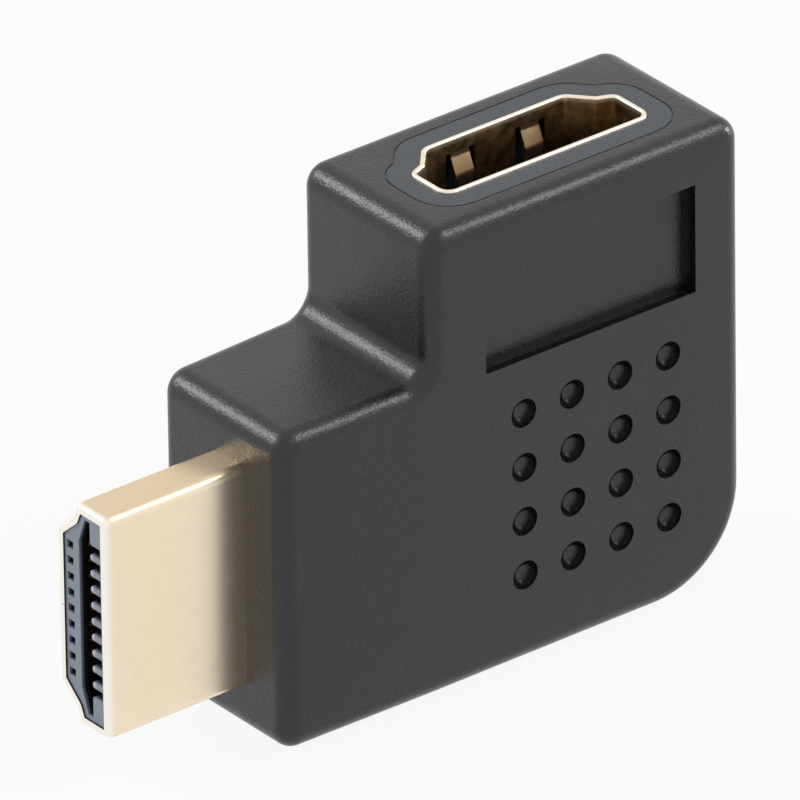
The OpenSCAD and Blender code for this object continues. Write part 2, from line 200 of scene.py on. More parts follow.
class AdapterStudio(PropertyGroup):
    """Lamps, background and floor."""

    key_power: power("Key", "Power of the lamp above the front right", 0.62)
    back_power: power("Back", "Power of the lamp above the back left", 0.85)
    side_power: power("Side", "Power of the low lamp at the right", 0.8)
    ambient: FloatProperty(
        name="Ambient", description="Strength of the light from all round", default=0.45, min=0.0,
    )
    lamp_size: length("Lamp Size", "Width of the lamps", 170.0, 1.0, 2000.0)
    lamp_distance: length(
        "Lamp Distance", "Distance of the lamps from the adapter", 500.0, 10.0, 5000.0)
    floor_size: length("Floor Size", "Width of the floor", 1600.0, 10.0, 5000.0)
    floor_shade: ratio(
        "Floor Shade", "How much of the real shading the white floor keeps", 0.1)


# Materials

def map_range(tree, value, old=(0.0, 1.0), new=(0.0, 1.0)):
    """Carries a value from one range to another and holds it at the ends."""
    made = tree.nodes.new("ShaderNodeMapRange")
    for key, number in zip(("From Min", "From Max", "To Min", "To Max"), (*old, *new)):
        made.inputs[key].default_value = number
    tree.links.new(value, made.inputs["Value"])
    return made.outputs["Result"]


class Recipe:
    """A new material with one principled shader, and short ways to add nodes to it."""

    def __init__(self, name):
        self.material = bpy.data.materials.new(name)
        self.material.use_nodes = True
        self.tree = self.material.node_tree
        self.tree.nodes.clear()
        self.output = self.tree.nodes.new("ShaderNodeOutputMaterial")
        self.shader = self.tree.nodes.new("ShaderNodeBsdfPrincipled")
        self.link(self.shader.outputs["BSDF"], self.output.inputs["Surface"])
        self.place = self.tree.nodes.new("ShaderNodeTexCoord").outputs["Object"]

    def link(self, source, target):
        """Joins a node's output to another's input."""
        self.tree.links.new(source, target)

    def stretched(self, stretch):
        """Object coordinates scaled by its own factor along each axis."""
        mapping = self.tree.nodes.new("ShaderNodeMapping")
        mapping.inputs["Scale"].default_value = stretch
        self.link(self.place, mapping.inputs["Vector"])
        return mapping.outputs["Vector"]

    def noise(self, size, detail=3.0, stretch=None):
        """Noise between 0 and 1, with features of the given size in metres."""
        made = self.tree.nodes.new("ShaderNodeTexNoise")
        made.inputs["Scale"].default_value = 1.0 / size
        made.inputs["Detail"].default_value = detail
        self.link(self.stretched(stretch) if stretch else self.place, made.inputs["Vector"])
        return made.outputs["Fac"]

    def spread(self, value, low, high):
        """A noise value, most of which lies near 0.5, spread from low to high."""
        return map_range(self.tree, value, (0.3, 0.7), (low, high))

    def along(self, axis, start, end):
        """0 before a place on an axis and 1 beyond another, in metres."""
        parts = self.tree.nodes.new("ShaderNodeSeparateXYZ")
        self.link(self.place, parts.inputs["Vector"])
        return map_range(self.tree, parts.outputs[axis], (start, end))

    def mix(self, factor, a, b):
        """A colour between two others, each a plain colour or a node's output."""
        made = self.tree.nodes.new("ShaderNodeMix")
        made.data_type = "RGBA"
        colours = [i for i in made.inputs if i.type == "RGBA"]
        for target, source in zip(colours, (a, b)):
            if isinstance(source, bpy.types.NodeSocket):
                self.link(source, target)
            else:
                target.default_value = (*source, 1.0)
        self.link(factor, made.inputs["Factor"])
        return next(o for o in made.outputs if o.type == "RGBA")

    def tint(self, value, dark, light, *zones):
        """A colour chosen by a noise value, with another colour beyond each zone's place."""
        chosen = self.mix(value, dark, light)
        for other, *place in zones:
            chosen = self.mix(self.along(*place), chosen, other)
        self.link(chosen, self.shader.inputs["Base Color"])

    def rough(self, value, middle, spread):
        """Roughness that wanders about its middle with a noise value."""
        wandering = self.spread(value, middle - spread, middle + spread)
        self.link(wandering, self.shader.inputs["Roughness"])

    def bump(self, *layers):
        """Bumps laid over each other, each a noise value and its height in metres."""
        normal = None
        for value, height in layers:
            made = self.tree.nodes.new("ShaderNodeBump")
            made.inputs["Distance"].default_value = height
            self.link(value, made.inputs["Height"])
            if normal:
                self.link(normal, made.inputs["Normal"])
            normal = made.outputs["Normal"]
        self.link(normal, self.shader.inputs["Normal"])


def shade(rgb, factor):
    """A darker or lighter tone of a colour."""
    return tuple(c * factor for c in rgb)


def eroded_plastic(name, rgb, roughness, shine, grain_size, grain_depth, painted_shade=None):
    """Moulded plastic with the fine grain of an eroded tool, and a place where its shine drops as
    painted shade.
    """
    recipe = Recipe(name)
    level = recipe.shader.inputs["Specular IOR Level"]
    level.default_value = shine
    if painted_shade:
        low_shine, *place = painted_shade
        recipe.link(map_range(recipe.tree, recipe.along(*place), new=(shine, low_shine)), level)
    grain = recipe.noise(grain_size, 4.0)
    cloud = recipe.noise(grain_size * 30, 2.0)
    recipe.tint(recipe.spread(grain, 0.0, 1.0), shade(rgb, 0.4), shade(rgb, 1.6))
    recipe.rough(recipe.noise(grain_size * 8), roughness, 0.03)
    recipe.bump((cloud, grain_depth * 2), (grain, grain_depth))
    return recipe.material


def smooth_plastic(name, rgb, roughness, *zones):
    """Moulded plastic from a polished tool, with faint flow marks."""
    recipe = Recipe(name)
    flow = recipe.noise(1.5 * MM, 3.0, (1.0, 1.0, 0.4))
    ripple = recipe.noise(0.4 * MM, 2.0)
    recipe.tint(flow, shade(rgb, 0.9), shade(rgb, 1.1), *zones)
    recipe.rough(flow, roughness, 0.04)
    recipe.bump((ripple, 0.004 * MM))
    return recipe.material


def plated_metal(name, rgb, roughness, stretch, mottle, *zones):
    """Plating over rolled sheet: fine lines that way, soft wear marks and mottled tarnish."""
    recipe = Recipe(name)
    recipe.shader.inputs["Metallic"].default_value = 1.0
    lines = recipe.noise(0.4 * MM, 4.0, stretch)
    wear = recipe.noise(3.0 * MM)
    tarnish = recipe.spread(recipe.noise(0.7 * MM, 4.0), 0.0, 1.0)
    recipe.tint(tarnish, shade(rgb, 1 - mottle), shade(rgb, 1 + mottle), *zones)
    recipe.rough(lines, roughness, 0.02)
    recipe.bump((wear, 0.004 * MM), (lines, 0.0003 * MM))
    return recipe.material


def laminate(name, rgb):
    """Circuit board under its coating."""
    recipe = Recipe(name)
    weave = recipe.noise(0.6 * MM, 2.0)
    recipe.tint(weave, shade(rgb, 0.8), shade(rgb, 1.2))
    recipe.shader.inputs["Roughness"].default_value = 0.4
    recipe.bump((weave, 0.02 * MM))
    return recipe.material


def shared(name, make, *args):
    """The material of that name, made at its first use."""
    return bpy.data.materials.get(name) or make(name, *args)


def dress(node, material):
    """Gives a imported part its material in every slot."""
    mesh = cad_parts[node].data
    if not mesh.materials:
        mesh.materials.append(material)
    for index in range(len(mesh.materials)):
        mesh.materials[index] = material


# Objects and meshes

def new_object(name, data):
    """An object at the origin, linked to the scene."""
    made = bpy.data.objects.new(name, data)
    bpy.context.scene.collection.objects.link(made)
    return made


def new_mesh(name, vertices, edges, faces):
    """A plain mesh."""
    mesh = bpy.data.meshes.new(name)
    mesh.from_pydata([tuple(v) for v in vertices], edges, faces)
    return mesh


def add_piece(name, vertices, faces, material):
    """A mesh object at the origin that rides with the adapter."""
    mesh = new_mesh(name, vertices, [], faces)
    mesh.materials.append(material)
    piece = new_object(name, mesh)
    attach(piece, "root")
    return piece


def evaluated_mesh(piece):
    """A plain mesh of an object with its modifiers applied."""
    graph = bpy.context.evaluated_depsgraph_get()
    return bpy.data.meshes.new_from_object(piece.evaluated_get(graph))


def smooth_by_angle(piece, degrees):
    """Smooth shading, with the sharper edges left sharp."""
    for face in piece.data.polygons:
        face.use_smooth = True
    piece.data.set_sharp_from_angle(angle=math.radians(degrees))


def faced_outward(piece):
    """Turns every face of a closed mesh outward."""
    shape = bmesh.new()
    shape.from_mesh(piece.data)
    bmesh.ops.recalc_face_normals(shape, faces=shape.faces)
    shape.to_mesh(piece.data)
    shape.free()


def soften(piece, width):
    """Small round on every sharper edge."""
    bevel = piece.modifiers.new("Soft edges", "BEVEL")
    bevel.width = width
    bevel.segments = 2
    bevel.limit_method = "ANGLE"
    bevel.angle_limit = math.radians(40)
    bevel.harden_normals = True


# Outlines and solids, with places on a connector as (across, through, outward)

# Corners of the outline of both connectors: height of the straight ends, inset and height of
# the inward corner of each slope, inset of the narrow side, and radii, below 0 where inward
END_TOP = 0.45 * MM
SLOPE_INSET, SLOPE_TOP = 0.95 * MM, 0.85 * MM
NARROW_INSET = 2.15 * MM
CORNER_RADII = [r * MM for r in (0.55, 0.55, 0.35, -0.4, 0.6, 0.6, -0.4, 0.35)]
LEAST_RADIUS = 0.08 * MM


def plug_frame():
    """Turns places on the plug into places on the adapter."""
    middle = (PLUG_LOW.z + PLUG_HIGH.z) / 2
    return Matrix(((0, 0, -1, BODY_LOW.x), (0, 1, 0, 0), (1, 0, 0, middle), (0, 0, 0, 1)))


def socket_frame():
    """Turns places on the socket into places on the adapter."""
    return Matrix.Translation(((SOCKET_LOW.x + SOCKET_HIGH.x) / 2, 0, BODY_HIGH.z))


def corner_arc(before, corner, after, radius, steps):
    """Points of the arc that rounds one corner."""
    a = (before - corner).normalized()
    b = (after - corner).normalized()
    half = math.acos(max(-1.0, min(1.0, a.dot(b)))) / 2
    centre = corner + (a + b).normalized() * radius / math.sin(half)
    start = corner + a * radius / math.tan(half) - centre
    turn = (1 if a.cross(b) < 0 else -1) * (math.pi - 2 * half)
    return [centre + Matrix.Rotation(turn * i / steps, 2) @ start for i in range(steps + 1)]


def connector_outline(width, thickness, grow, steps):
    """Outline shared by a connector's pieces, wide side first, moved outward by grow."""
    w, t = width / 2, thickness / 2
    corners = [
        Vector(p) for p in (
            (-w, -t), (w, -t), (w, END_TOP), (w - SLOPE_INSET, SLOPE_TOP),
            (w - NARROW_INSET, t), (-w + NARROW_INSET, t),
            (-w + SLOPE_INSET, SLOPE_TOP), (-w, END_TOP),
        )
    ]
    moved = []
    for i, point in enumerate(corners):
        sides = (point - corners[i - 1], corners[(i + 1) % len(corners)] - point)
        n1, n2 = [Vector((s.y, -s.x)).normalized() for s in sides]
        moved.append(point + (n1 + n2) * grow / (1 + n1.dot(n2)))
    outline = []
    for i, radius in enumerate(CORNER_RADII):
        rounded = max(radius + grow if radius > 0 else -radius - grow, LEAST_RADIUS)
        outline += corner_arc(moved[i - 1], moved[i], moved[(i + 1) % len(moved)], rounded, steps)
    return outline


def rectangle(low, high):
    """Corners of a rectangle between two points."""
    return [Vector(p) for p in (low, (high[0], low[1]), high, (low[0], high[1]))]


def rounded_polygon(points, radii, steps=6):
    """A polygon with its corners rounded; a radius of 0 leaves a corner as it is."""
    outline = []
    for i, radius in enumerate(radii):
        if radius:
            after = points[(i + 1) % len(points)]
            outline += corner_arc(points[i - 1], points[i], after, radius, steps)
        else:
            outline.append(points[i])
    return outline


def plate(outline, holes, low, high):
    """A flat plate with holes, between two heights."""
    loops = [outline, *holes]
    flat = [p for loop in loops for p in loop]
    caps = tessellate_polygon([[Vector((p[0], p[1], 0)) for p in loop] for loop in loops])
    count = len(flat)
    vertices = [Vector((p[0], p[1], h)) for h in (low, high) for p in flat]
    faces = [list(t) for t in caps] + [[i + count for i in reversed(t)] for t in caps]
    start = 0
    for loop in loops:
        for i in range(len(loop)):
            a, b = start + i, start + (i + 1) % len(loop)
            faces.append([a, b, b + count, a + count])
        start += len(loop)
    return vertices, faces


def joined(*parts):
    """Vertices and faces of several shapes as one."""
    vertices, faces = [], []
    for more_vertices, more_faces in parts:
        start = len(vertices)
        vertices += more_vertices
        faces += [[start + i for i in face] for face in more_faces]
    return vertices, faces


def sheet_wall(rings, closed):
    """A folded sheet through rings of equal length: inner and outer face, and its seam if open."""
    count, size = len(rings), len(rings[0])
    faces = []
    for k in range(count):
        here, there = k * size, (k + 1) % count * size
        for j in range(size if closed else size - 1):
            after = (j + 1) % size
            faces.append((here + j, here + after, there + after, there + j))
    if not closed:
        faces.append([k * size for k in range(count)])
        faces.append([k * size + size - 1 for k in reversed(range(count))])
    return [Vector(p) for ring in rings for p in ring], faces


# Geometry Nodes

ROW_INPUTS = {
    "Count": "NodeSocketInt", "First": "NodeSocketVector", "Step": "NodeSocketVector",
    "Material": "NodeSocketMaterial",
}
# A strip's path lies in its own x and y, as (through, outward), and its row runs along z
STRIP_TO_CONNECTOR = Matrix(((0, 0, 1, 0), (1, 0, 0, 0), (0, 1, 0, 0), (0, 0, 0, 1)))


def socket_id(tree, name):
    """Identifier of a tree's input."""
    items = tree.interface.items_tree
    return next(i.identifier for i in items if i.name == name and i.in_out == "INPUT")


def new_tree(name, inputs):
    """An empty tree with a geometry input and output and the given named inputs."""
    tree = bpy.data.node_groups.new(name, "GeometryNodeTree")
    tree.interface.new_socket("Geometry", in_out="INPUT", socket_type="NodeSocketGeometry")
    for key, kind in inputs.items():
        tree.interface.new_socket(key, in_out="INPUT", socket_type=kind)
    tree.interface.new_socket("Geometry", in_out="OUTPUT", socket_type="NodeSocketGeometry")
    return tree, tree.nodes.new("NodeGroupInput"), tree.nodes.new("NodeGroupOutput")


def row_nodes(tree, start, shape, output):
    """Repeats a shape along a line, makes it real and gives it its material."""
    line = tree.nodes.new("GeometryNodeMeshLine")
    tree.links.new(start.outputs["Count"], line.inputs["Count"])
    tree.links.new(start.outputs["First"], line.inputs["Start Location"])
    tree.links.new(start.outputs["Step"], line.inputs["Offset"])
    copies = tree.nodes.new("GeometryNodeInstanceOnPoints")
    tree.links.new(line.outputs["Mesh"], copies.inputs["Points"])
    tree.links.new(shape, copies.inputs["Instance"])
    real = tree.nodes.new("GeometryNodeRealizeInstances")
    tree.links.new(copies.outputs["Instances"], real.inputs["Geometry"])
    paint = tree.nodes.new("GeometryNodeSetMaterial")
    tree.links.new(real.outputs["Geometry"], paint.inputs["Geometry"])
    tree.links.new(start.outputs["Material"], paint.inputs["Material"])
    tree.links.new(paint.outputs["Geometry"], output.inputs["Geometry"])


def rounded_curve(tree, curve, radius, facets_round):
    """Rounds the corners of a curve."""
    bends = tree.nodes.new("GeometryNodeFilletCurve")
    bends.mode = "POLY"
    bends.inputs["Count"].default_value = facets_round
    tree.links.new(curve, bends.inputs["Curve"])
    tree.links.new(radius, bends.inputs["Radius"])
    return bends


def row_tree(name):
    """Tree that repeats a shape in a row."""
    tree, start, output = new_tree(name, ROW_INPUTS)
    row_nodes(tree, start, start.outputs["Geometry"], output)
    return tree


def strip_tree(name):
    """Tree for a row of strips: a path gets round bends and a stamped section, and is repeated."""
    inputs = {key: "NodeSocketFloat" for key in ("Width", "Thickness", "Bend", "Edge")}
    tree, start, output = new_tree(name, {**inputs, **ROW_INPUTS})
    path = tree.nodes.new("GeometryNodeMeshToCurve")
    tree.links.new(start.outputs["Geometry"], path.inputs["Mesh"])
    bends = rounded_curve(tree, path.outputs["Curve"], start.outputs["Bend"], 6)
    bends.inputs["Limit Radius"].default_value = True
    section = tree.nodes.new("GeometryNodeCurvePrimitiveQuadrilateral")
    tree.links.new(start.outputs["Thickness"], section.inputs["Width"])
    tree.links.new(start.outputs["Width"], section.inputs["Height"])
    stamped = rounded_curve(tree, section.outputs["Curve"], start.outputs["Edge"], 2)
    sweep = tree.nodes.new("GeometryNodeCurveToMesh")
    sweep.inputs["Fill Caps"].default_value = True
    tree.links.new(bends.outputs["Curve"], sweep.inputs["Curve"])
    tree.links.new(stamped.outputs["Curve"], sweep.inputs["Profile Curve"])
    row_nodes(tree, start, sweep.outputs["Mesh"], output)
    return tree


def grow_row(name, tree_name, make_tree, shape, place, values):
    """Runs a tree on a small shape, and keeps the result as a plain mesh in its place."""
    tree = bpy.data.node_groups.get(tree_name) or make_tree(tree_name)
    seed = new_object(name + "_seed", new_mesh(name + "_seed", *shape))
    nodes = seed.modifiers.new("Row", "NODES")
    nodes.node_group = tree
    for key, value in values.items():
        nodes[socket_id(tree, key)] = value
    result = evaluated_mesh(seed)
    result.name = name
    result.transform(place)
    seed.modifiers.remove(nodes)
    bpy.data.objects.remove(seed)
    piece = new_object(name, result)
    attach(piece, "root")
    return piece


def grow_strips(name, path, place, values):
    """A row of bent strips, from the path of one of them."""
    shape = (path, [(i, i + 1) for i in range(len(path) - 1)], [])
    place = place @ STRIP_TO_CONNECTOR
    strips = grow_row(name, "Row of bent strips", strip_tree, shape, place, values)
    smooth_by_angle(strips, 35)
    return strips


# Rows of contacts

BOARD_FACE = 0.5  # from the middle plane to the faces of the board, in millimetres


def plug_path(wall):
    """A plug contact as (outward, through) in millimetres: tail, spring, and tip near a wall."""
    return (
        (-8.5, BOARD_FACE), (-6.3, BOARD_FACE), (-5.6, 1.1), (1.0, 1.1),
        (6.6, wall + 0.06), (7.6, wall + 0.02), (8.7, wall + 0.2),
    )


def socket_path(face):
    """A socket contact as (outward, through) in millimetres: tail, and blade in the tongue."""
    return (-14.9, BOARD_FACE), (-12.7, BOARD_FACE), (-12.0, face), (-2.7, face)


def contact_rows(owner, place, paths, metal, sizes):
    """The wide and the narrow row of one connector's contacts."""
    rows = (("wide", WIDE_COUNT, 1, -1), ("narrow", NARROW_COUNT, 2, 1))
    for points, (row, count, first, side) in zip(paths, rows):
        path = [Vector((side * through, outward, 0)) * MM for outward, through in points]
        piece = grow_strips(f"{owner}_{row}_row", path, place, {
            "Width": sizes.width, "Thickness": sizes.thickness,
            "Bend": sizes.bend, "Edge": sizes.edge,
            "Count": count, "First": (0.0, 0.0, -sizes.pitch * (count - 1) / 2),
            "Step": (0.0, 0.0, sizes.pitch), "Material": metal,
        })
        last = WIDE_COUNT + NARROW_COUNT
        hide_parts(*[f"{owner}_contact_{i:02d}" for i in range(first, last + 1, 2)])


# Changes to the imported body

def tighten_throat(shape, corner, s):
    """Gives the fillet over the low arm its smaller radius, with its border as wide as before."""
    old, new = (corner + Vector((-size, size)) for size in (s.packed_throat, s.throat))
    border_from = PLUG_HIGH.y + MM
    for vertex in shape.verts:
        reach = Vector((vertex.co.x, vertex.co.z)) - old
        on_fillet = abs(reach.length - s.packed_throat) < TOUCH
        near_border = reach.length < s.packed_throat + s.border + TOUCH
        on_border = abs(vertex.co.y) > border_from and near_border
        if reach.x > -TOUCH and reach.y < TOUCH and (on_border or on_fillet):
            spot = new + reach.normalized() * (reach.length + s.throat - s.packed_throat)
            vertex.co.x, vertex.co.z = spot


def taper_arm(shape, step, s):
    """Thins the low arm toward the plug, from the upright block on."""
    everything = [*shape.verts, *shape.edges, *shape.faces]
    bmesh.ops.bisect_plane(
        shape, geom=everything, dist=0.001 * MM, plane_co=(step, 0, 0), plane_no=(1, 0, 0),
    )
    outer_wall = (BODY_HIGH.y + PLUG_HIGH.y) / 2
    for vertex in shape.verts:
        share = max(0.0, (step - vertex.co.x) / s.arm_length)
        if vertex.co.y > outer_wall:
            vertex.co.y -= share * s.taper_back
        elif vertex.co.y < -outer_wall:
            vertex.co.y += share * s.taper_front


def in_recess(spot, step, s):
    """Whether a place is on the walls of the sunken panel or of the dimples."""
    front, floor = BODY_LOW.y + TOUCH, BODY_LOW.y + s.panel_depth - TOUCH
    left, right = step + s.recess_margin, BODY_HIGH.x - s.recess_margin
    foot, top = s.recess_margin, BODY_HIGH.z - s.recess_margin
    return front < spot.y < floor and left < spot.x < right and foot < spot.z < top


# Operators, one for each piece or group of like pieces

class ADAPTER_OT_body(Operator):
    """Build the black body, with a low arm that gets thinner toward the plug"""

    bl_idname = "adapter.body"
    bl_label = "Build Body"

    def execute(self, context):
        s = context.scene.adapter_body
        rgb = context.scene.adapter_finish.body_colour
        step = BODY_LOW.x + s.arm_length
        shape = bmesh.new()
        shape.from_mesh(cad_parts["housing"].data)
        bmesh.ops.remove_doubles(shape, verts=shape.verts, dist=0.0001 * MM)
        tighten_throat(shape, Vector((step, s.arm_height)), s)
        taper_arm(shape, step, s)
        shape.verts.index_update()
        vertices = [vertex.co.copy() for vertex in shape.verts]
        faces = [[vertex.index for vertex in face.verts] for face in shape.faces]
        shape.free()
        black = shared(
            "Eroded black plastic", eroded_plastic,
            rgb, s.roughness, s.shine, s.grain_size, s.grain_depth,
        )
        # The walls of the panel and of the dimples lose their shine as painted shade, and are
        # smoother than the front
        painted_shade = shared(
            "Dull black plastic", eroded_plastic,
            rgb, s.roughness * 0.7, s.shine, s.grain_size, s.grain_depth * 0.3,
            (s.recess_shade_shine, "Y", BODY_LOW.y + 0.6 * MM, BODY_LOW.y + 0.42 * MM),
        )
        body = add_piece("fine_body", vertices, faces, black)
        body.data.materials.append(painted_shade)
        for face in body.data.polygons:
            if in_recess(face.center, step, s):
                face.material_index = 1
        smooth_by_angle(body, 35)
        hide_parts("housing")
        return {"FINISHED"}


class ADAPTER_OT_inner_mould(Operator):
    """Give the inner mould its grey plastic and the board its coated laminate"""

    bl_idname = "adapter.inner_mould"
    bl_label = "Finish Inner Mould and Board"

    def execute(self, context):
        s = context.scene.adapter_body
        finish = context.scene.adapter_finish
        # Below its end the mould's walls lose their shine as painted shade, which keeps the joint
        # round the collar dark
        dress("inner_mould", shared(
            "Grey mould plastic", eroded_plastic,
            finish.collar_colour, s.roughness, s.shine, s.grain_size * 0.8, s.grain_depth * 0.6,
            (0.05, "Z", BODY_HIGH.z - 0.2 * MM, BODY_HIGH.z - 0.6 * MM),
        ))
        dress("circuit_board", shared("Green laminate", laminate, finish.board_colour))
        return {"FINISHED"}


class ADAPTER_OT_plug(Operator):
    """Build the plug's plated shell from its outline, with a rolled leading edge and a seam"""

    bl_idname = "adapter.plug"
    bl_label = "Build Plug Shell"

    def execute(self, context):
        s = context.scene.adapter_plug
        tip, root = BODY_LOW.x - PLUG_LOW.x, BODY_LOW.x - PLUG_HIGH.x
        bend = [math.pi / 2 * i / s.roll_steps for i in range(s.roll_steps + 1)]
        roll = [
            (tip - s.roll_length * (1 - math.sin(a)), -s.roll_in * (1 - math.cos(a)))
            for a in bend
        ]
        inside = [(height, grow - s.sheet) for height, grow in reversed(roll)]
        rings = []
        for height, grow in [(root, 0.0), *roll, *inside, (root, -s.sheet)]:
            outline = connector_outline(s.width, s.thickness, grow, s.corner_steps)
            # The fifth and sixth corners end the narrow side, and the seam is in its middle
            first = 5 * (s.corner_steps + 1)
            seam = [Vector((end, outline[first].y)) for end in (-s.seam / 2, s.seam / 2)]
            folded = [seam[0], *outline[first:], *outline[:first], seam[1]]
            rings.append([(p.x, p.y, height) for p in folded])
        vertices, faces = sheet_wall(rings, False)
        finish = context.scene.adapter_finish
        # Painted shade darkens the plating on the narrow sides, and a painted highlight lightens
        # it at the tip
        tint_from, tint_to = 0.35 * MM, 0.05 * MM
        metal = shared(
            "Pale gold plating", plated_metal, finish.plug_gold, 0.3, (0.15, 1.0, 1.0), 0.02,
            (finish.side_shade_gold, "Z", PLUG_HIGH.z - tint_from, PLUG_HIGH.z - tint_to),
            (finish.side_shade_gold, "Z", PLUG_LOW.z + tint_from, PLUG_LOW.z + tint_to),
            (finish.tip_highlight_gold, "X", PLUG_LOW.x + 0.4 * MM, PLUG_LOW.x + 0.1 * MM),
        )
        place = plug_frame()
        vertices = [place @ v for v in vertices]
        piece = add_piece("fine_plug_shell", vertices, faces, metal)
        smooth_by_angle(piece, 40)
        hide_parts("plug_shell")
        return {"FINISHED"}


class ADAPTER_OT_plug_insulator(Operator):
    """Build the plug's insulator: block, front skin with windows, and a comb of rounded teeth"""

    bl_idname = "adapter.plug_insulator"
    bl_label = "Build Plug Insulator"

    def execute(self, context):
        s = context.scene.adapter_plug
        pitch = context.scene.adapter_contacts.pitch
        tip, root = BODY_LOW.x - PLUG_LOW.x, BODY_LOW.x - PLUG_HIGH.x
        front = tip - s.front_inset
        floor = front - s.slot_depth
        # Outline of the slot, with the comb's opening on its wide side
        near, far = -0.5 * MM - s.slot_shift, 0.5 * MM - s.slot_shift
        knee, slope = -0.05 * MM - s.slot_shift, 4.6 * MM
        slot_end, comb_end, comb_wall, comb_mouth = 6.1 * MM, 4.76 * MM, 1.5 * MM, 0.16 * MM
        slot = [Vector(p) for p in (
            (-slot_end, near), (-comb_end, near), (-comb_end, -comb_wall),
            (comb_end, -comb_wall), (comb_end, near), (slot_end, near),
            (slot_end, knee), (slope, far), (-slope, far), (-slot_end, knee),
        )]
        slot = rounded_polygon(slot, [0, comb_mouth, 0, 0, comb_mouth, 0, 0, 0, 0, 0])
        cavity = [Vector(p) for p in (
            (-slot_end, -comb_wall), (slot_end, -comb_wall), (slot_end, 0.0),
            (comb_end, comb_wall), (-comb_end, comb_wall), (-slot_end, 0.0),
        )]
        half, window_low, window_high = s.window_width / 2, 0.9 * MM, 1.44 * MM
        middles = [pitch * (i - (NARROW_COUNT - 1) / 2) for i in range(NARROW_COUNT)]
        windows = [rectangle((u - half, window_low), (u + half, window_high)) for u in middles]
        wide = connector_outline(s.width, s.thickness, -s.sheet, s.corner_steps)
        nose = connector_outline(
            s.width, s.thickness, -s.sheet - s.roll_in - s.front_gap, s.corner_steps,
        )
        overlap = 0.01 * MM
        vertices, faces = joined(
            plate(wide, [], root, floor),
            plate(wide, [cavity], floor - overlap, tip - s.roll_length),
            plate(nose, [slot, *windows], front - s.skin, front),
        )

        finish = context.scene.adapter_finish
        face = BODY_LOW.x - front
        # Painted shade: deeper than the front face the plastic turns dark in the slot, notches and
        # windows
        painted_depth_shade = (finish.recess_shade_colour, "X", face + 0.05 * MM, face + 0.25 * MM)
        # Painted highlight: the slot-side ends of the wide teeth are lighter
        painted_tip_highlight = (finish.tooth_highlight_colour, "Y", near - 0.3 * MM, near - 0.1 * MM)
        rgb = finish.insulator_colour
        plastic = shared("Blue-grey plastic", smooth_plastic, rgb, 0.35, painted_depth_shade)
        comb = shared("Rubbed blue-grey plastic", smooth_plastic, rgb, 0.3, painted_tip_highlight, painted_depth_shade)
        place = plug_frame()
        vertices = [place @ v for v in vertices]
        block = add_piece("insulator_block", vertices, faces, plastic)
        faced_outward(block)
        smooth_by_angle(block, 30)
        soften(block, 0.04 * MM)
        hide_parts("plug_insulator")

        # Teeth of the wide side reach the front, those of the narrow side end behind the skin
        r, buried = s.tooth_width / 2, 0.1 * MM
        for name, count, wall, mouth, end, material in (
            ("wide_teeth", WIDE_COUNT - 1, -comb_wall - buried, near, front - overlap, comb),
            ("narrow_teeth", NARROW_COUNT - 1, comb_wall + buried, far,
             front - s.skin + 0.05 * MM, plastic),
        ):
            section = rectangle((-r, wall), (r, mouth))
            outline = rounded_polygon(section, [0, 0, 0.9 * r, 0.9 * r], 8)
            tooth, sides = plate(outline, [], floor - buried, end)
            teeth = grow_row(name, "Row of like shapes", row_tree, (tooth, [], sides), place, {
                "Count": count, "First": (-pitch * (count - 1) / 2, 0.0, 0.0),
                "Step": (pitch, 0.0, 0.0), "Material": material,
            })
            faced_outward(teeth)
            smooth_by_angle(teeth, 30)
            soften(teeth, 0.05 * MM)
        return {"FINISHED"}


